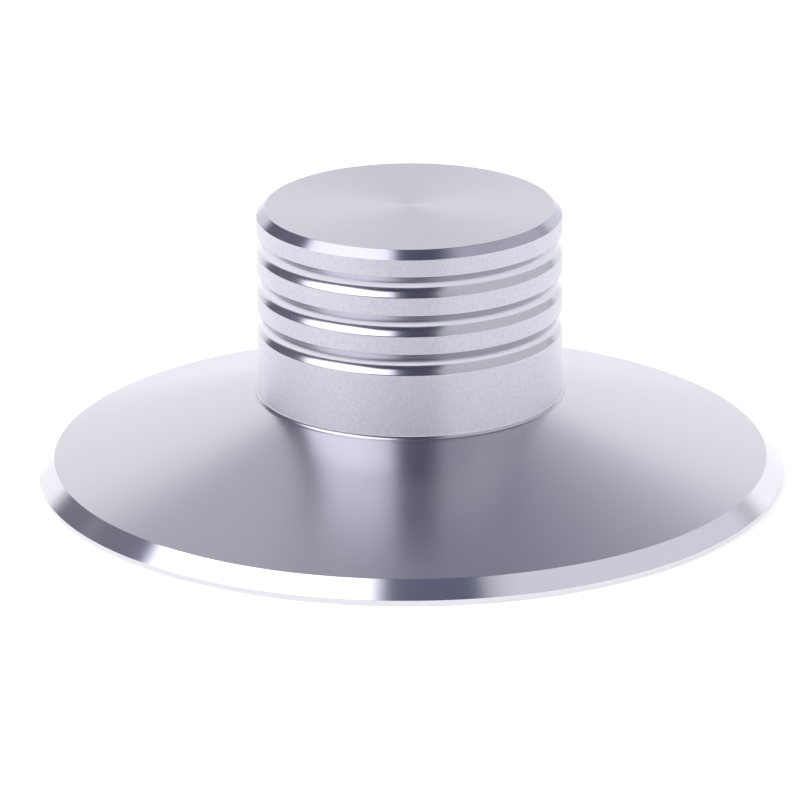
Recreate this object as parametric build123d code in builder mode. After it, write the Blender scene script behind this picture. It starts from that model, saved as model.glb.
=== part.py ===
"""Record weight: a one-piece turned aluminium weight that sits over a turntable's spindle.

A wide, shallow cone with a chamfered rim spreads the weight over the record's label, and a
cylindrical knob with grip grooves stands on it. The underside is relieved so that only an outer
ring touches the label, and a blind bore takes the spindle.

Frame: +Z is up along the spindle axis, and z = 0 is the plane of the ring that rests on the label.
"""

from build123d import *

import os
from math import radians, tan

# Driving dimensions, in millimetres and degrees
overall_height = 30.0
edge_break = 0.2

flange_diameter = 80.0
rim_height = 0.7
rim_chamfer = 1.7

knob_diameter = 32.5
knob_base_height = 9.44
knob_root_radius = 0.55
knob_chamfer = 0.88

groove_count = 3
groove_width = 2.28
groove_flank_angle = 31.0
groove_root_radius = 1.35
groove_spacing = 4.25
first_groove_drop = 3.86

contact_ring_width = 7.0
relief_depth = 0.8

bore_diameter = 7.3
bore_depth = 18.0
bore_lead_in = 0.8
drill_point_angle = 118.0

# Sizes that follow from the driving dimensions
flange_radius = flange_diameter / 2
knob_radius = knob_diameter / 2
bore_radius = bore_diameter / 2
relief_radius = flange_radius - contact_ring_width

# Each grip groove has two straight flanks, which lean from the wall by the flank angle and would
# meet at its apex, and a round root. The grooves are listed from the lowest one up, as the section
# climbs the wall, and the top one is measured down from the knob's top face.
groove_half_width = groove_width / 2
groove_apex_radius = knob_radius - groove_half_width * tan(radians(groove_flank_angle))
top_groove_height = overall_height - first_groove_drop
groove_heights = [top_groove_height - index * groove_spacing for index in reversed(range(groove_count))]
groove_corners = []
for height in groove_heights:
    groove_corners.append((knob_radius, height - groove_half_width))
    groove_corners.append((groove_apex_radius, height))
    groove_corners.append((knob_radius, height + groove_half_width))

bore_mouth_height = relief_depth
bore_end_height = bore_mouth_height + bore_depth
drill_point_height = bore_radius / tan(radians(drill_point_angle / 2))

with BuildPart() as record_weight:
    # Outer form: half of the turned section, from the resting plane up to the top of the knob
    with BuildSketch(Plane.XZ) as section:
        with BuildLine():
            Polyline(
                (0, 0),
                (flange_radius, 0),
                (flange_radius, rim_height),
                (flange_radius - rim_chamfer, rim_height + rim_chamfer),
                (knob_radius, knob_base_height),
                *groove_corners,
                (knob_radius, overall_height),
                (0, overall_height),
                close=True,
            )
        make_face()

        rim_foot = section.vertices().sort_by_distance((flange_radius, 0))[0]
        chamfer(rim_foot, edge_break)
        knob_root = section.vertices().sort_by_distance((knob_radius, knob_base_height))[0]
        fillet(knob_root, knob_root_radius)
        knob_top = section.vertices().sort_by_distance((knob_radius, overall_height))[0]
        chamfer(knob_top, knob_chamfer)
        for height in groove_heights:
            groove_apex = section.vertices().sort_by_distance((groove_apex_radius, height))[0]
            fillet(groove_apex, groove_root_radius)
    revolve(axis=Axis.Z)

    # Underside relief: only the outer ring is left to touch the label
    with BuildSketch(Plane.XY):
        Circle(relief_radius)
    extrude(amount=relief_depth, mode=Mode.SUBTRACT)

    # Spindle bore: a blind drilled hole with a lead-in at its mouth and a drill point at its end
    with BuildSketch(Plane.XZ):
        with BuildLine():
            Polyline(
                (0, bore_mouth_height),
                (bore_radius + bore_lead_in, bore_mouth_height),
                (bore_radius, bore_mouth_height + bore_lead_in),
                (bore_radius, bore_end_height),
                (0, bore_end_height + drill_point_height),
                close=True,
            )
        make_face()
    revolve(axis=Axis.Z, mode=Mode.SUBTRACT)

record_weight.part.label = "record_weight"
os.makedirs("parts", exist_ok=True)
export_step(record_weight.part, "parts/record_weight.step")
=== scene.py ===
"""A turned aluminium record weight in a plain studio: its body, finishes, light, table and camera.

Lengths are in millimetres until MM turns them to metres. The body is one lathed piece. It stands
for the part's one node, takes its overall size from that node's box, and rides on the part's one
body.
"""

import logging
import math
from dataclasses import dataclass
from enum import IntEnum
from typing import Any

import bpy
from mathutils import Euler, Matrix, Vector


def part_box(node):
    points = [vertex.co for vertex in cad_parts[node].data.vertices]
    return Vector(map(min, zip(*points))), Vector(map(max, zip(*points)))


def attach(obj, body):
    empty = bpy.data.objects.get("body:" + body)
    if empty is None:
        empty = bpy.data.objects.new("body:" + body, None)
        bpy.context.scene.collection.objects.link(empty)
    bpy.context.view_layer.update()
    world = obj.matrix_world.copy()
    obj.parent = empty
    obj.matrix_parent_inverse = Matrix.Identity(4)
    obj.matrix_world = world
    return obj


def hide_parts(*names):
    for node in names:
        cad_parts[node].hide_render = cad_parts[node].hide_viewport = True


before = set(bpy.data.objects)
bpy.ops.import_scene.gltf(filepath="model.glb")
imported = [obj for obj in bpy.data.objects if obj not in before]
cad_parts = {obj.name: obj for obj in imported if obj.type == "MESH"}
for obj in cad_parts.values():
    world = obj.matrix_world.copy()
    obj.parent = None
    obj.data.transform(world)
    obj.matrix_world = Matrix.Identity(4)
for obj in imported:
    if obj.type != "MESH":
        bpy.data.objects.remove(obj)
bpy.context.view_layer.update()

MM = 0.001
NODE = "record_weight"
BODY = "root"
PHOTO_WIDTH_PX = 800
WHITE = "#FFFFFF"
STRAIGHT_UP = 90.0

LOG = logging.getLogger("record_weight")

Point = tuple[float, float]
Colour = tuple[float, float, float, float]

# Noise keeps mostly to these ranges, which are stretched to the whole of a shade or a roughness
GRAIN_RANGE: Point = (0.3, 0.7)
RING_RANGE: Point = (0.25, 0.75)
NOISE_DETAIL = 2.0
RING_NOISE_ROUGHNESS = 0.6

# Sockets of a Mix node that mixes colours, and of a Compare node that compares whole numbers
MIX_FACTOR, MIX_UNDER, MIX_OVER, MIX_RESULT = 0, 6, 7, 2
COMPARE_A, COMPARE_B = 2, 3


def linear(hex_colour: str, strength: float = 1.0) -> Colour:
    """Turn an sRGB hex colour to the linear values that Blender works in.

    Args:
        hex_colour: Colour such as "#C0C0C8".
        strength: Factor on the linear values, for light.

    Returns:
        Linear red, green and blue, and an alpha of one.
    """
    values = [int(hex_colour[place : place + 2], 16) / 255 for place in (1, 3, 5)]
    red, green, blue = (v / 12.92 if v <= 0.04045 else ((v + 0.055) / 1.055) ** 2.4 for v in values)
    return red * strength, green * strength, blue * strength, 1.0


def add_node(
    tree: bpy.types.NodeTree,
    kind: str,
    settings: dict[str, Any] | None = None,
    inputs: dict[str | int, Any] | None = None,
) -> bpy.types.Node:
    """Add one node with its settings and links.

    Args:
        tree: Node tree that takes the node.
        kind: Blender's name for the type of node.
        settings: Properties of the node, by name.
        inputs: Values for its sockets, or the sockets that feed them, by name or index.

    Returns:
        The new node.
    """
    node = tree.nodes.new(kind)
    for name, value in (settings or {}).items():
        setattr(node, name, value)
    for key, value in (inputs or {}).items():
        if isinstance(value, bpy.types.NodeSocket):
            tree.links.new(value, node.inputs[key])
        else:
            node.inputs[key].default_value = value
    return node


class Band(IntEnum):
    """Bands of the turned surface that were cut in different ways."""

    FACE = 0
    KNOB_CHAMFER = 1
    WALL = 2
    FLANK = 3
    GROOVE = 4
    ROOT = 5
    CONE = 6
    RIM_CHAMFER = 7
    RIM_WALL = 8
    SEAT = 9
    BORE = 10
    EDGE = 11


@dataclass(frozen=True)
class TurnedFinish:
    """Aluminium as one kind of cut leaves it.

    The tool leaves rings round the axis, so the metal scatters light more across them than along
    them. Real rings and grains are a few hundredths of a millimetre wide, which is too fine to show
    in the render, so both are drawn coarser. A grain's size is given across the axis and along it.
    """

    name: str
    colour: str
    grain_shade: str
    roughness: float
    anisotropy: float = 0.0
    ring_pitch_mm: float = 0.15
    ring_depth_mm: float = 0.0
    ring_roughness: float = 0.02
    grain_mm: Point = (0.3, 0.3)
    grain_depth_mm: float = 0.0

    def material(self) -> bpy.types.Material:
        """Build the finish as a material that reads Object coordinates.

        Returns:
            The new material.
        """
        material = bpy.data.materials.new(self.name)
        material.use_nodes = True
        tree = material.node_tree
        tree.nodes.clear()

        place = add_node(tree, "ShaderNodeTexCoord").outputs["Object"]
        axes = add_node(tree, "ShaderNodeSeparateXYZ", inputs={0: place})
        flat = add_node(
            tree, "ShaderNodeCombineXYZ", inputs={0: axes.outputs[0], 1: axes.outputs[1]}
        )
        radius = add_node(
            tree, "ShaderNodeVectorMath", {"operation": "LENGTH"}, {0: flat.outputs[0]}
        )

        # Down the section, which crosses the rings on a face, a slope and a wall alike
        fall = add_node(
            tree, "ShaderNodeMath", {"operation": "MULTIPLY"}, {0: radius.outputs["Value"], 1: -1.0}
        )
        across = add_node(
            tree,
            "ShaderNodeCombineXYZ",
            inputs={0: axes.outputs[0], 1: axes.outputs[1], 2: fall.outputs[0]},
        )
        run = add_node(
            tree,
            "ShaderNodeMath",
            {"operation": "SUBTRACT"},
            {0: radius.outputs["Value"], 1: axes.outputs[2]},
        )
        rings = add_node(
            tree,
            "ShaderNodeTexNoise",
            {"noise_dimensions": "1D"},
            {
                "W": run.outputs[0],
                "Scale": 1 / (self.ring_pitch_mm * MM),
                "Detail": NOISE_DETAIL,
                "Roughness": RING_NOISE_ROUGHNESS,
            },
        )

        round_mm, upright_mm = self.grain_mm
        spread = add_node(
            tree,
            "ShaderNodeMapping",
            inputs={
                "Vector": place,
                "Scale": (1 / (round_mm * MM), 1 / (round_mm * MM), 1 / (upright_mm * MM)),
            },
        )
        grain = add_node(
            tree,
            "ShaderNodeTexNoise",
            inputs={"Vector": spread.outputs[0], "Scale": 1.0, "Detail": NOISE_DETAIL},
        )

        spots = add_node(
            tree,
            "ShaderNodeMapRange",
            inputs={
                "Value": grain.outputs["Fac"],
                "From Min": GRAIN_RANGE[0],
                "From Max": GRAIN_RANGE[1],
            },
        )
        shade = add_node(
            tree,
            "ShaderNodeMix",
            {"data_type": "RGBA"},
            {
                MIX_FACTOR: spots.outputs[0],
                MIX_UNDER: linear(self.grain_shade),
                MIX_OVER: linear(self.colour),
            },
        )
        rough = add_node(
            tree,
            "ShaderNodeMapRange",
            inputs={
                "Value": rings.outputs["Fac"],
                "From Min": RING_RANGE[0],
                "From Max": RING_RANGE[1],
                "To Min": self.roughness - self.ring_roughness,
                "To Max": self.roughness + self.ring_roughness,
            },
        )
        cut = add_node(
            tree,
            "ShaderNodeBump",
            inputs={
                "Strength": 1.0,
                "Distance": self.ring_depth_mm * MM,
                "Height": rings.outputs["Fac"],
            },
        )
        pitted = add_node(
            tree,
            "ShaderNodeBump",
            inputs={
                "Strength": 1.0,
                "Distance": self.grain_depth_mm * MM,
                "Height": grain.outputs["Fac"],
                "Normal": cut.outputs[0],
            },
        )
        metal = add_node(
            tree,
            "ShaderNodeBsdfPrincipled",
            inputs={
                "Base Color": shade.outputs[MIX_RESULT],
                "Metallic": 1.0,
                "Roughness": rough.outputs[0],
                "Anisotropic": self.anisotropy,
                "Tangent": across.outputs[0],
                "Normal": pitted.outputs[0],
            },
        )
        add_node(tree, "ShaderNodeOutputMaterial", inputs={"Surface": metal.outputs[0]})
        return material


FINISHES: dict[Band, TurnedFinish] = {
    # Faced with a fine feed: the rings scatter its sheen outwards, so it fans out from the centre
    Band.FACE: TurnedFinish(
        "faced_aluminium",
        colour="#D2CED7",
        grain_shade="#CDC9D2",
        roughness=0.30,
        anisotropy=0.5,
        ring_pitch_mm=0.25,
        ring_depth_mm=0.0001,
        ring_roughness=0.012,
        grain_mm=(0.18, 0.18),
    ),
    # Fine-cut chamfer of the knob: a clear but slightly grey mirror
    Band.KNOB_CHAMFER: TurnedFinish(
        "fine_cut_aluminium",
        colour="#C4C3D1",
        grain_shade="#BEBDCB",
        roughness=0.15,
        grain_mm=(0.2, 0.2),
        grain_depth_mm=0.0003,
    ),
    # Satin lands and wall of the knob: mottled, with short upright grains
    Band.WALL: TurnedFinish(
        "satin_turned_aluminium",
        colour="#E3E3EA",
        grain_shade="#D6D6DD",
        roughness=0.34,
        anisotropy=0.75,
        ring_pitch_mm=0.2,
        grain_mm=(0.2, 0.36),
        grain_depth_mm=0.0010,
    ),
    # Upper halves of the grooves, cut by the tool's side: a softer picture than in the lower halves
    Band.FLANK: TurnedFinish(
        "side_turned_aluminium", colour="#D6D5DC", grain_shade="#D2D1D8", roughness=0.3
    ),
    # Lower halves of the grooves, cut by the tool's tip: bright, with clear streaks of the studio
    Band.GROOVE: TurnedFinish(
        "form_turned_aluminium", colour="#D6D5DC", grain_shade="#D2D1D8", roughness=0.18
    ),
    # Root of the knob: a soft line that only the lamp and the dark of the room draw clearly
    Band.ROOT: TurnedFinish(
        "radius_turned_aluminium", colour="#C8C7CE", grain_shade="#C4C3CA", roughness=0.2
    ),
    # Satin cone: very even, with a wide soft sheen
    Band.CONE: TurnedFinish(
        "lapped_aluminium",
        colour="#D5D4DB",
        grain_shade="#D0CFD6",
        roughness=0.22,
        anisotropy=0.6,
        ring_pitch_mm=0.3,
        ring_roughness=0.01,
        grain_mm=(0.17, 0.17),
    ),
    # Diamond-cut rim: the brightest and clearest mirror on the part
    Band.RIM_CHAMFER: TurnedFinish(
        "diamond_cut_aluminium",
        colour="#F0EFF6",
        grain_shade="#ECEBF2",
        roughness=0.115,
        ring_roughness=0.01,
        grain_mm=(0.17, 0.17),
        grain_depth_mm=0.0005,
    ),
    # Narrow wall of the rim: a soft mirror of the table
    Band.RIM_WALL: TurnedFinish(
        "bright_turned_aluminium",
        colour="#E3E2E4",
        grain_shade="#E0DFE1",
        roughness=0.2,
        anisotropy=0.3,
        ring_roughness=0.01,
    ),
    # Seat and relief underneath: plain turned rings
    Band.SEAT: TurnedFinish(
        "rough_turned_aluminium",
        colour="#D4D3DA",
        grain_shade="#CCCBD2",
        roughness=0.34,
        anisotropy=0.5,
        ring_pitch_mm=0.3,
        ring_depth_mm=0.002,
        ring_roughness=0.05,
    ),
    # Drilled bore: dull, with feed marks
    Band.BORE: TurnedFinish(
        "drilled_aluminium",
        colour="#C8C7CE",
        grain_shade="#BEBDC4",
        roughness=0.4,
        anisotropy=0.4,
        ring_pitch_mm=0.25,
        ring_depth_mm=0.002,
        ring_roughness=0.05,
    ),
    # Broken edges: burnished a little brighter than the bands that they join
    Band.EDGE: TurnedFinish(
        "burnished_aluminium", colour="#E8E7EE", grain_shade="#E0DFE6", roughness=0.2
    ),
}


@dataclass(frozen=True)
class Run:
    """One stretch of the section, and the round edge at its far end.

    The edge has no radius where the next stretch runs on smoothly.
    """

    band: Band
    path: tuple[Point, ...]
    edge_mm: float
    edge_band: Band = Band.EDGE
    edge_steps: int = 4


@dataclass
class RecordWeight:
    """The turned body: a shallow cone with a chamfered rim, and a grooved knob on it.

    The lathe sweeps the section along a circle of the core's radius, which the shape doesn't show.
    """

    flange_radius: float
    height: float
    rim_height: float = 0.7
    rim_chamfer: float = 1.7
    knob_radius: float = 16.25
    knob_base_height: float = 9.44
    knob_root_radius: float = 0.55
    knob_root_steps: int = 10
    knob_chamfer: float = 0.88
    groove_count: int = 3
    groove_width: float = 2.28
    groove_flank_angle: float = 31.0
    groove_root_radius: float = 1.35
    groove_spacing: float = 4.25
    first_groove_drop: float = 3.86
    groove_steps: int = 16
    groove_lip: float = 0.25
    seat_width: float = 7.0
    relief_depth: float = 0.8
    bore_radius: float = 3.65
    bore_depth: float = 18.0
    bore_lead_in: float = 0.8
    drill_point_angle: float = 118.0
    foot_break: float = 0.2
    edge_break: float = 0.03
    edge_support: float = 0.06
    facets: int = 320
    core_radius: float = 100.0
    weld_distance: float = 0.001

    @classmethod
    def from_frame(cls) -> "RecordWeight":
        """Take the flange and the height from the node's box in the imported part."""
        low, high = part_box(NODE)
        return cls(flange_radius=(high.x - low.x) / 2 / MM, height=(high.z - low.z) / MM)

    def grooves(self) -> list[tuple[Point, ...]]:
        """Work out each grip groove from the top one down: two straight flanks and a round root."""
        lean = math.radians(self.groove_flank_angle)
        sharp_depth = self.groove_width / 2 * math.tan(lean)
        root_centre = self.knob_radius - sharp_depth + self.groove_root_radius / math.cos(lean)
        turns = [lean * (1 - 2 * step / self.groove_steps) for step in range(self.groove_steps + 1)]
        grooves = []
        for index in range(self.groove_count):
            middle = self.height - self.first_groove_drop - index * self.groove_spacing
            root = [
                (
                    root_centre - self.groove_root_radius * math.cos(turn),
                    middle + self.groove_root_radius * math.sin(turn),
                )
                for turn in turns
            ]
            top = (self.knob_radius, middle + self.groove_width / 2)
            bottom = (self.knob_radius, middle - self.groove_width / 2)
            grooves.append((top, *root, bottom))
        return grooves

    def outline(self) -> list[Run]:
        """List the section's runs from the top's centre over the rim to the drill point.

        Returns:
            Runs that meet end to end, in millimetres of radius and height.
        """
        wall, rim = self.knob_radius, self.flange_radius
        top_edge = (wall - self.knob_chamfer, self.height)
        wall_top = (wall, self.height - self.knob_chamfer)
        root = (wall, self.knob_base_height)
        rim_top = (rim - self.rim_chamfer, self.rim_height + self.rim_chamfer)
        rim_edge = (rim, self.rim_height)
        foot_top, foot = (rim, self.foot_break), (rim - self.foot_break, 0.0)
        seat_edge = (rim - self.seat_width, 0.0)
        relief_edge = (rim - self.seat_width, self.relief_depth)
        mouth = (self.bore_radius + self.bore_lead_in, self.relief_depth)
        bore_start = (self.bore_radius, self.relief_depth + self.bore_lead_in)
        bore_end = (self.bore_radius, self.relief_depth + self.bore_depth)
        point_height = self.bore_radius / math.tan(math.radians(self.drill_point_angle / 2))
        point = (0.0, bore_end[1] + point_height)

        edge = self.edge_break
        runs = [
            Run(Band.FACE, ((0.0, self.height), top_edge), edge),
            Run(Band.KNOB_CHAMFER, (top_edge, wall_top), edge),
        ]
        land_top = wall_top
        for groove in self.grooves():
            middle = len(groove) // 2
            runs.append(Run(Band.WALL, (land_top, groove[0]), self.groove_lip, Band.FLANK))
            runs.append(Run(Band.FLANK, groove[: middle + 1], 0.0))
            runs.append(Run(Band.GROOVE, groove[middle:], self.groove_lip, Band.GROOVE))
            land_top = groove[-1]
        return runs + [
            Run(
                Band.WALL,
                (land_top, root),
                self.knob_root_radius,
                Band.ROOT,
                self.knob_root_steps,
            ),
            Run(Band.CONE, (root, rim_top), edge),
            Run(Band.RIM_CHAMFER, (rim_top, rim_edge), edge),
            Run(Band.RIM_WALL, (rim_edge, foot_top), edge),
            Run(Band.RIM_WALL, (foot_top, foot), edge),
            Run(Band.SEAT, (foot, seat_edge), edge),
            Run(Band.SEAT, (seat_edge, relief_edge), edge),
            Run(Band.SEAT, (relief_edge, mouth), edge),
            Run(Band.BORE, (mouth, bore_start), edge),
            Run(Band.BORE, (bore_start, bore_end), edge),
            Run(Band.BORE, (bore_end, point), 0.0),
        ]

    def edge_arc(self, run: Run, following: Run) -> list[Vector]:
        """Round the edge where two runs meet.

        Args:
            run: Run that ends at the edge.
            following: Run that starts there.

        Returns:
            Points of the arc, from the first run's tangent point to the second's.
        """
        corner = Vector(run.path[-1])
        back = (Vector(run.path[-2]) - corner).normalized()
        ahead = (Vector(following.path[1]) - corner).normalized()
        half = back.angle(ahead) / 2
        centre = corner + (back + ahead).normalized() * (run.edge_mm / math.sin(half))
        start = corner + back * (run.edge_mm / math.tan(half)) - centre
        sweep = start.angle_signed(corner + ahead * (run.edge_mm / math.tan(half)) - centre)
        return [
            centre + Matrix.Rotation(-sweep * step / run.edge_steps, 2) @ start
            for step in range(run.edge_steps + 1)
        ]

    def spans(self) -> list[tuple[Band, list[Vector]]]:
        """Round the outline's edges, and hold each flat run straight beside them.

        Returns:
            Bands and points of the spans, which meet end to end.
        """
        runs = self.outline()
        spans: list[tuple[Band, list[Vector]]] = []
        start = Vector(runs[0].path[0])
        for index, run in enumerate(runs):
            arc = self.edge_arc(run, runs[index + 1]) if run.edge_mm else [Vector(run.path[-1])]
            points = [start, *(Vector(point) for point in run.path[1:-1]), arc[0]]
            spans.append((run.band, self.held(points)))
            if run.edge_mm:
                spans.append((run.edge_band, arc))
            start = arc[-1]
        return spans

    def held(self, points: list[Vector]) -> list[Vector]:
        """Add a point close to each end of a run, so that an edge's shading doesn't spread over it.

        Args:
            points: Points of the run.

        Returns:
            The points with the supports, which an end no longer than three of them leaves out.
        """
        ends = []
        for end, neighbour in ((points[0], points[1]), (points[-1], points[-2])):
            reach = neighbour - end
            on_axis = end.x == 0.0
            short = reach.length <= 3 * self.edge_support
            support = end + reach.normalized() * self.edge_support
            ends.append([] if short or on_axis else [support])
        return [points[0], *ends[0], *points[1:-1], *ends[1], points[-1]]

    def section(self) -> bpy.types.Object:
        """Draw the half section as edges in the XZ plane, with each point's band on it."""
        corners: list[tuple[float, float, float]] = []
        edges: list[tuple[int, int]] = []
        bands: list[int] = []
        for band, points in self.spans():
            first = len(corners)
            corners += [(point.x * MM, 0.0, point.y * MM) for point in points]
            edges += [(first + step, first + step + 1) for step in range(len(points) - 1)]
            bands += [int(band)] * len(points)
        mesh = bpy.data.meshes.new("section")
        mesh.from_pydata(corners, edges, [])
        mesh.attributes.new("band", "INT", "POINT").data.foreach_set("value", bands)
        section = bpy.data.objects.new("section", mesh)
        bpy.context.scene.collection.objects.link(section)
        return section

    def lathe(self, materials: dict[Band, bpy.types.Material]) -> bpy.types.NodeTree:
        """Build the tree that sweeps a half section round the axis and gives each band its finish.

        Args:
            materials: Material of each band.

        Returns:
            A tree with the inputs Section, Facets, Core radius and Weld distance.
        """
        tree = bpy.data.node_groups.new("lathe", "GeometryNodeTree")
        for name, kind in (
            ("Section", "NodeSocketGeometry"),
            ("Facets", "NodeSocketInt"),
            ("Core radius", "NodeSocketFloat"),
            ("Weld distance", "NodeSocketFloat"),
        ):
            tree.interface.new_socket(name, in_out="INPUT", socket_type=kind)
        tree.interface.new_socket("Body", in_out="OUTPUT", socket_type="NodeSocketGeometry")
        given = add_node(tree, "NodeGroupInput").outputs

        # The sweep measures from the core's circle, so the section first moves in by its radius
        core = add_node(
            tree, "ShaderNodeMath", {"operation": "MULTIPLY"}, {0: given["Core radius"], 1: -1.0}
        )
        inward = add_node(tree, "ShaderNodeCombineXYZ", inputs={0: core.outputs[0]})
        laid = add_node(
            tree,
            "GeometryNodeTransform",
            inputs={
                "Geometry": given["Section"],
                "Translation": inward.outputs[0],
                "Rotation": (math.pi / 2, 0.0, 0.0),
            },
        )
        profile = add_node(tree, "GeometryNodeMeshToCurve", inputs={"Mesh": laid.outputs[0]})
        circle = add_node(
            tree,
            "GeometryNodeCurvePrimitiveCircle",
            inputs={"Resolution": given["Facets"], "Radius": given["Core radius"]},
        )
        swept = add_node(
            tree,
            "GeometryNodeCurveToMesh",
            inputs={"Curve": circle.outputs[0], "Profile Curve": profile.outputs[0]},
        )

        # The bands go onto the faces while they are apart, and the weld then closes seams and poles
        drawn = add_node(
            tree, "GeometryNodeInputNamedAttribute", {"data_type": "INT"}, {"Name": "band"}
        )
        marked = add_node(
            tree,
            "GeometryNodeStoreNamedAttribute",
            {"data_type": "INT", "domain": "FACE"},
            {
                "Geometry": swept.outputs[0],
                "Name": "face_band",
                "Value": drawn.outputs["Attribute"],
            },
        )
        welded = add_node(
            tree,
            "GeometryNodeMergeByDistance",
            inputs={"Geometry": marked.outputs[0], "Distance": given["Weld distance"]},
        )
        smooth = add_node(
            tree, "GeometryNodeSetShadeSmooth", inputs={"Geometry": welded.outputs[0]}
        )
        body = add_node(
            tree, "GeometryNodeRealizeInstances", inputs={"Geometry": smooth.outputs[0]}
        )
        face_band = add_node(
            tree, "GeometryNodeInputNamedAttribute", {"data_type": "INT"}, {"Name": "face_band"}
        )
        for band, material in materials.items():
            chosen = add_node(
                tree,
                "FunctionNodeCompare",
                {"data_type": "INT", "operation": "EQUAL"},
                {COMPARE_A: face_band.outputs["Attribute"], COMPARE_B: int(band)},
            )
            body = add_node(
                tree,
                "GeometryNodeSetMaterial",
                inputs={
                    "Geometry": body.outputs[0],
                    "Selection": chosen.outputs[0],
                    "Material": material,
                },
            )
        add_node(tree, "NodeGroupOutput", inputs={"Body": body.outputs[0]})
        return tree

    def build(self) -> bpy.types.Object:
        """Turn the body on the lathe tree.

        Returns:
            The finished body as a plain mesh at the origin.
        """
        section = self.section()
        materials = {band: finish.material() for band, finish in FINISHES.items()}
        tree = self.lathe(materials)
        turning = section.modifiers.new("lathe", "NODES")
        turning.node_group = tree
        sizes = {
            "Facets": self.facets,
            "Core radius": self.core_radius * MM,
            "Weld distance": self.weld_distance * MM,
        }
        for socket in tree.interface.items_tree:
            if socket.name in sizes:
                turning[socket.identifier] = sizes[socket.name]
        turned = section.evaluated_get(bpy.context.evaluated_depsgraph_get())
        mesh = bpy.data.meshes.new_from_object(turned)
        section.modifiers.remove(turning)
        mesh.name = "turned_body"
        for name in ("band", "face_band"):
            mesh.attributes.remove(mesh.attributes[name])

        body = bpy.data.objects.new("turned_body", mesh)
        bpy.context.scene.collection.objects.link(body)
        bpy.data.objects.remove(section)
        return body

    def fit(self, body: bpy.types.Object) -> None:
        """Let the body stand for its node and ride on the part's body."""
        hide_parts(NODE)
        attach(body, BODY)


@dataclass(frozen=True)
class Panel:
    """One soft-edged field of light round the table, in degrees as seen from the part.

    Azimuth is 0 towards the camera and positive to its right. Each upright edge may lean, by so
    many degrees of azimuth for a degree of elevation, as the edge of a tilted lamp does.
    """

    name: str
    colour: str
    azimuth: Point
    elevation: Point
    soft: Point
    lean: Point = (0.0, 0.0)
    strength: float = 1.0


@dataclass(frozen=True)
class RoundLamp:
    """A round soft lamp: its middle and its apparent radius, in degrees as seen from the part."""

    azimuth: float = -61.6
    elevation: float = 45.5
    radius: float = 31.0
    soft: float = 3.2
    colour: str = "#F8F8FF"
    strength: float = 1.9

    def towards(self) -> tuple[float, float, float]:
        """Give the unit direction of the lamp's middle."""
        turn, rise = math.radians(self.azimuth), math.radians(self.elevation)
        return math.cos(rise) * math.sin(turn), -math.cos(rise) * math.cos(turn), math.sin(rise)


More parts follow.
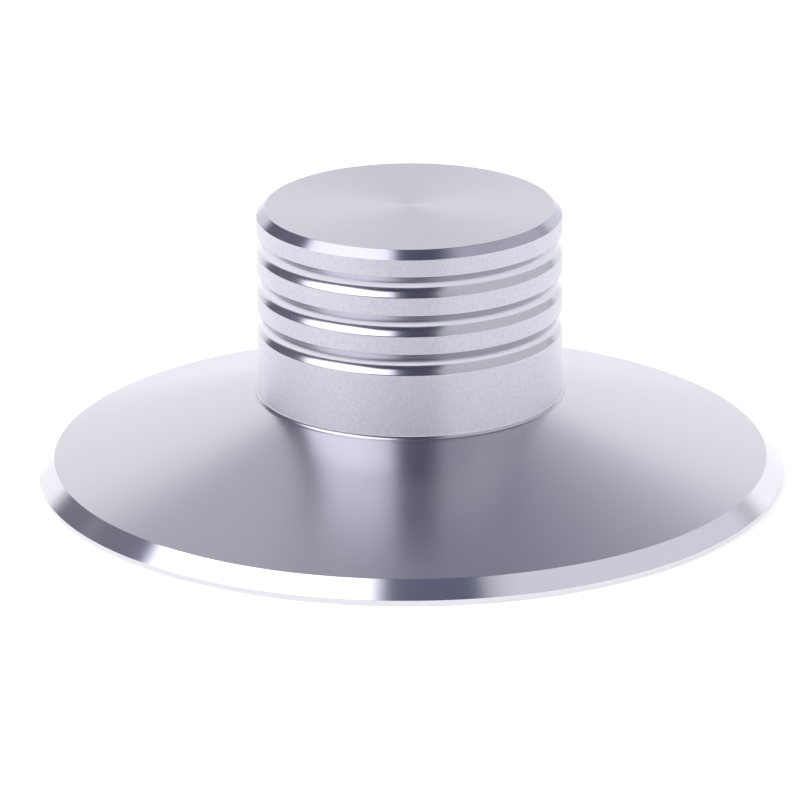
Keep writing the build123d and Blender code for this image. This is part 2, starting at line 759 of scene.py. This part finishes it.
@dataclass
class Studio:
    """The light: a lamp on the left, a reflector on the right and a white wall behind.

    The panels lie over the room in turn, the round lamp over them, and the masks over the lamp.
    """

    gap_colour: str = "#797884"
    # Elevation on the wall, and its colour there
    wall_stops: tuple[tuple[float, str], ...] = (
        (12.0, "#F7F7FA"),
        (22.0, "#F8F8FB"),
        (30.0, "#F3F2F7"),
        (35.0, "#DEDDE4"),
        (40.0, "#C4C3CC"),
        (47.0, "#ABABB6"),
        (54.0, "#9595A3"),
        (62.0, "#808090"),
        (75.0, "#6E6E80"),
        (90.0, "#6C6C7E"),
    )
    wall_strength: float = 1.1
    # Azimuth and lean of the wall's two edges, and how many degrees sooner it darkens on the right
    wall_edges: tuple[Point, Point] = ((-131.0, -0.65), (134.0, 0.0))
    wall_soft: float = 6.0
    wall_tilt: float = 10.0
    # A patch of light on the wall, the dark ceiling, the reflector with a shade over its far end
    # and a fold in it, the dim gap in front and its upper corner, and what stands round the lamp
    panels: tuple[Panel, ...] = (
        Panel("wall_glow", "#C8C8D0", (-178.0, -148.0), (40.0, 58.0), (8.0, 6.0)),
        Panel("ceiling", "#626579", (-135.0, 132.0), (62.0, 120.0), (8.0, 5.0)),
        Panel("reflector", "#DAD9DF", (23.5, 132.0), (-60.0, 66.2), (5.0, 3.0)),
        Panel("shade", "#5E6074", (194.0, 132.0), (36.0, 120.0), (5.0, 4.0), lean=(-1.8, 0.0)),
        Panel("fold", "#A2A3B0", (30.0, 66.0), (43.0, 56.0), (6.0, 4.0)),
        Panel("gap", "#4F5064", (-45.0, 23.5), (-14.0, 62.0), (5.0, 5.0)),
        Panel("corner", "#626579", (16.0, 36.5), (55.0, 74.0), (5.0, 4.0)),
        Panel("lamp_back", "#6F7088", (-111.0, -90.0), (20.0, 68.0), (4.0, 5.0)),
        Panel("lamp_stand", "#898892", (-126.5, -122.5), (20.0, 68.0), (2.5, 5.0)),
        Panel(
            "lamp_side",
            RoundLamp.colour,
            (-45.0, -13.5),
            (33.0, 60.0),
            (3.0, 4.0),
            strength=RoundLamp.strength,
        ),
    )
    lamp: RoundLamp = RoundLamp()
    # Dark cards in front of the lamp: one under it, and one that trims its edge towards the gap
    masks: tuple[Panel, ...] = (
        Panel("lamp_foot", "#6F6F7C", (-128.0, -18.0), (-30.0, 15.0), (5.0, 3.0)),
        Panel("lamp_edge", "#4B5068", (-17.5, 8.0), (46.0, 62.0), (2.0, 3.0)),
    )

    def build(self) -> bpy.types.World:
        """Build the world: white to the camera, and the studio to everything that it lights.

        Returns:
            The scene's new world.
        """
        world = bpy.data.worlds.new("studio")
        world.use_nodes = True
        tree = world.node_tree
        tree.nodes.clear()

        direction = add_node(tree, "ShaderNodeTexCoord").outputs["Generated"]
        axes = add_node(tree, "ShaderNodeSeparateXYZ", inputs={0: direction})
        front = add_node(
            tree, "ShaderNodeMath", {"operation": "MULTIPLY"}, {0: axes.outputs[1], 1: -1.0}
        )
        turn = add_node(
            tree,
            "ShaderNodeMath",
            {"operation": "ARCTAN2"},
            {0: axes.outputs[0], 1: front.outputs[0]},
        )
        rise = add_node(tree, "ShaderNodeMath", {"operation": "ARCSINE"}, {0: axes.outputs[2]})
        azimuth, elevation = (
            add_node(
                tree, "ShaderNodeMath", {"operation": "DEGREES"}, {0: angle.outputs[0]}
            ).outputs[0]
            for angle in (turn, rise)
        )

        light = self.wall(tree, axes.outputs[0], azimuth, elevation)
        for panel in self.panels:
            light = self.field(tree, panel, azimuth, elevation, light)
        light = self.lit(tree, direction, light)
        for mask in self.masks:
            light = self.field(tree, mask, azimuth, elevation, light)

        studio = add_node(tree, "ShaderNodeBackground", inputs={"Color": light})
        white = add_node(tree, "ShaderNodeBackground", inputs={"Color": linear(WHITE)})
        path = add_node(tree, "ShaderNodeLightPath")
        seen = add_node(
            tree,
            "ShaderNodeMixShader",
            inputs={0: path.outputs["Is Camera Ray"], 1: studio.outputs[0], 2: white.outputs[0]},
        )
        add_node(tree, "ShaderNodeOutputWorld", inputs={"Surface": seen.outputs[0]})
        bpy.context.scene.world = world
        return world

    def wall(
        self,
        tree: bpy.types.NodeTree,
        sideways: bpy.types.NodeSocket,
        azimuth: bpy.types.NodeSocket,
        elevation: bpy.types.NodeSocket,
    ) -> bpy.types.NodeSocket:
        """Shade the room: dim in front, and behind a white wall that darkens upwards.

        Args:
            tree: The world's tree.
            sideways: Socket with the direction's share to the right.
            azimuth: Socket with the azimuth in degrees.
            elevation: Socket with the elevation in degrees.

        Returns:
            Socket with the room's colour.
        """
        slope = add_node(
            tree,
            "ShaderNodeMath",
            {"operation": "MULTIPLY_ADD"},
            {0: sideways, 1: self.wall_tilt, 2: elevation},
        )
        height = add_node(
            tree,
            "ShaderNodeMath",
            {"operation": "DIVIDE", "use_clamp": True},
            {0: slope.outputs[0], 1: STRAIGHT_UP},
        )
        ramp = add_node(tree, "ShaderNodeValToRGB", inputs={0: height.outputs[0]})
        stops = ramp.color_ramp.elements
        while len(stops) < len(self.wall_stops):
            stops.new(1.0)
        for stop, (degrees, colour) in zip(stops, self.wall_stops):
            stop.position = degrees / STRAIGHT_UP
            stop.color = linear(colour, self.wall_strength)
        room: Any = linear(self.gap_colour)
        for (edge, lean), outward in zip(self.wall_edges, (-1, 1)):
            leaning = add_node(
                tree,
                "ShaderNodeMath",
                {"operation": "MULTIPLY_ADD"},
                {0: elevation, 1: -lean, 2: azimuth},
            )
            behind = add_node(
                tree,
                "ShaderNodeMapRange",
                {"interpolation_type": "SMOOTHSTEP"},
                {
                    "Value": leaning.outputs[0],
                    "From Min": edge - outward * self.wall_soft,
                    "From Max": edge + outward * self.wall_soft,
                },
            )
            room = add_node(
                tree,
                "ShaderNodeMix",
                {"data_type": "RGBA"},
                {MIX_FACTOR: behind.outputs[0], MIX_UNDER: room, MIX_OVER: ramp.outputs[0]},
            ).outputs[MIX_RESULT]
        return room

    def field(
        self,
        tree: bpy.types.NodeTree,
        panel: Panel,
        azimuth: bpy.types.NodeSocket,
        elevation: bpy.types.NodeSocket,
        beneath: bpy.types.NodeSocket,
    ) -> bpy.types.NodeSocket:
        """Lay one panel over the light so far.

        Args:
            tree: The world's tree.
            panel: The panel.
            azimuth: Socket with the azimuth in degrees.
            elevation: Socket with the elevation in degrees.
            beneath: Socket with the light so far.

        Returns:
            Socket with the light and the panel.
        """
        cover: Any = 1.0
        soft_azimuth, soft_elevation = panel.soft
        for side in (0, 1):
            inside = 1 - 2 * side
            leaning = add_node(
                tree,
                "ShaderNodeMath",
                {"operation": "MULTIPLY_ADD"},
                {0: elevation, 1: -panel.lean[side], 2: azimuth},
            )
            for value, edge, soft in (
                (leaning.outputs[0], panel.azimuth[side], soft_azimuth),
                (elevation, panel.elevation[side], soft_elevation),
            ):
                step = add_node(
                    tree,
                    "ShaderNodeMapRange",
                    {"interpolation_type": "SMOOTHSTEP"},
                    {
                        "Value": value,
                        "From Min": edge - inside * soft,
                        "From Max": edge + inside * soft,
                    },
                )
                cover = add_node(
                    tree,
                    "ShaderNodeMath",
                    {"operation": "MULTIPLY"},
                    {0: cover, 1: step.outputs[0]},
                ).outputs[0]
        laid = add_node(
            tree,
            "ShaderNodeMix",
            {"data_type": "RGBA", "label": panel.name},
            {
                MIX_FACTOR: cover,
                MIX_UNDER: beneath,
                MIX_OVER: linear(panel.colour, panel.strength),
            },
        )
        return laid.outputs[MIX_RESULT]

    def lit(
        self,
        tree: bpy.types.NodeTree,
        direction: bpy.types.NodeSocket,
        beneath: bpy.types.NodeSocket,
    ) -> bpy.types.NodeSocket:
        """Lay the round lamp over the light so far.

        Args:
            tree: The world's tree.
            direction: Socket with the unit direction.
            beneath: Socket with the light so far.

        Returns:
            Socket with the light and the lamp.
        """
        near = add_node(
            tree,
            "ShaderNodeVectorMath",
            {"operation": "DOT_PRODUCT"},
            {0: direction, 1: self.lamp.towards()},
        )
        away = add_node(
            tree, "ShaderNodeMath", {"operation": "ARCCOSINE"}, {0: near.outputs["Value"]}
        )
        degrees = add_node(tree, "ShaderNodeMath", {"operation": "DEGREES"}, {0: away.outputs[0]})
        cover = add_node(
            tree,
            "ShaderNodeMapRange",
            {"interpolation_type": "SMOOTHSTEP"},
            {
                "Value": degrees.outputs[0],
                "From Min": self.lamp.radius + self.lamp.soft,
                "From Max": self.lamp.radius - self.lamp.soft,
            },
        )
        laid = add_node(
            tree,
            "ShaderNodeMix",
            {"data_type": "RGBA", "label": "lamp"},
            {
                MIX_FACTOR: cover.outputs[0],
                MIX_UNDER: beneath,
                MIX_OVER: linear(self.lamp.colour, self.lamp.strength),
            },
        )
        return laid.outputs[MIX_RESULT]


@dataclass
class Table:
    """The pale table that the part stands on.

    Its own glow is a share of white, larger on the lamp's side than on the other and falling off
    between:
    painted lamp light on the lamp's side and painted shade on the far side.
    """

    front: float = 300.0
    reach: float = 1500.0
    colour: str = "#E7E7E7"
    white_and_painted_light: Point = (0.645, 0.53)
    falloff: Point = (-20.0, 80.0)

    def build(self) -> bpy.types.Object:
        """Build the table top as one wide face that ends close in front of the part."""
        side, front = self.reach * MM, self.front * MM
        mesh = bpy.data.meshes.new("table_top")
        mesh.from_pydata(
            [(-side, -front, 0.0), (side, -front, 0.0), (side, side, 0.0), (-side, side, 0.0)],
            [],
            [(0, 1, 2, 3)],
        )
        mesh.materials.append(self.material())
        table = bpy.data.objects.new("table_top", mesh)
        bpy.context.scene.collection.objects.link(table)
        return table

    def material(self) -> bpy.types.Material:
        """Build matt white paper, lit up to white for the camera and for what mirrors it, with
        painted lamp light.

        Returns:
            A material that keeps the shadow, and that is clear from below.
        """
        material = bpy.data.materials.new("matt_white_paper")
        material.use_nodes = True
        tree = material.node_tree
        tree.nodes.clear()
        paper = add_node(tree, "ShaderNodeBsdfDiffuse", inputs={"Color": linear(self.colour)})
        path = add_node(tree, "ShaderNodeLightPath")
        mirrored = add_node(
            tree,
            "ShaderNodeMath",
            {"operation": "MAXIMUM"},
            {0: path.outputs["Is Glossy Ray"], 1: path.outputs["Is Transmission Ray"]},
        )
        seen = add_node(
            tree,
            "ShaderNodeMath",
            {"operation": "MAXIMUM"},
            {0: path.outputs["Is Camera Ray"], 1: mirrored.outputs[0]},
        )
        place = add_node(tree, "ShaderNodeTexCoord").outputs["Object"]
        sideways = add_node(tree, "ShaderNodeSeparateXYZ", inputs={0: place}).outputs[0]
        # Painted light: the glow is stronger on the lamp's side, as painted lamp light, and weaker
        # on the far side, as painted shade
        lamp_side = add_node(
            tree,
            "ShaderNodeMapRange",
            {"interpolation_type": "SMOOTHSTEP"},
            {
                "Value": sideways,
                "From Min": self.falloff[0] * MM,
                "From Max": self.falloff[1] * MM,
                "To Min": self.white_and_painted_light[0],
                "To Max": self.white_and_painted_light[1],
            },
        )
        fill = add_node(
            tree,
            "ShaderNodeMath",
            {"operation": "MULTIPLY"},
            {0: seen.outputs[0], 1: lamp_side.outputs[0]},
        )
        glow = add_node(
            tree,
            "ShaderNodeEmission",
            inputs={"Color": linear(WHITE), "Strength": fill.outputs[0]},
        )
        lit = add_node(
            tree, "ShaderNodeAddShader", inputs={0: paper.outputs[0], 1: glow.outputs[0]}
        )
        clear = add_node(tree, "ShaderNodeBsdfTransparent")
        side = add_node(tree, "ShaderNodeNewGeometry").outputs["Backfacing"]
        shown = add_node(
            tree, "ShaderNodeMixShader", inputs={0: side, 1: lit.outputs[0], 2: clear.outputs[0]}
        )
        add_node(tree, "ShaderNodeOutputMaterial", inputs={"Surface": shown.outputs[0]})
        return material


@dataclass
class PhotoCamera:
    """A long lens at the photograph's place, from a fit to the part's edges.

    Pitch, yaw and roll are in radians.
    """

    location_mm: tuple[float, float, float] = (0.0, -557.985, 204.382)
    focal_px: float = 5509.2
    pitch: float = 0.33820
    yaw: float = 0.00195
    roll: float = 0.00525
    sensor_mm: float = 36.0
    clip_mm: Point = (10.0, 10000.0)

    def build(self) -> bpy.types.Object:
        """Build the camera and make it the scene's own."""
        lens = bpy.data.cameras.new("photo_camera")
        lens.sensor_width = self.sensor_mm
        lens.lens = self.focal_px * self.sensor_mm / PHOTO_WIDTH_PX
        lens.clip_start, lens.clip_end = (distance * MM for distance in self.clip_mm)
        camera = bpy.data.objects.new("photo_camera", lens)
        camera.location = Vector(self.location_mm) * MM
        aim = Euler((math.pi / 2 - self.pitch, 0.0, self.yaw)).to_matrix()
        camera.rotation_euler = (aim @ Matrix.Rotation(-self.roll, 3, "Z")).to_euler()
        bpy.context.scene.collection.objects.link(camera)
        bpy.context.scene.camera = camera
        return camera


def main() -> None:
    """Build the part, its table, its light and its camera, and report each piece."""
    logging.basicConfig(level=logging.INFO, format="%(name)s: %(message)s")
    weight = RecordWeight.from_frame()
    body = weight.build()
    weight.fit(body)
    mesh = body.data
    LOG.info("%s: %d faces in %d finishes", body.name, len(mesh.polygons), len(mesh.materials))
    table = Table().build()
    LOG.info("%s: stage", table.name)
    world = Studio().build()
    LOG.info("%s: light", world.name)
    camera = PhotoCamera().build()
    LOG.info("%s: %.0f mm lens", camera.name, camera.data.lens)
    bpy.context.scene.view_settings.view_transform = "Standard"


if __name__ == "__main__":
    main()
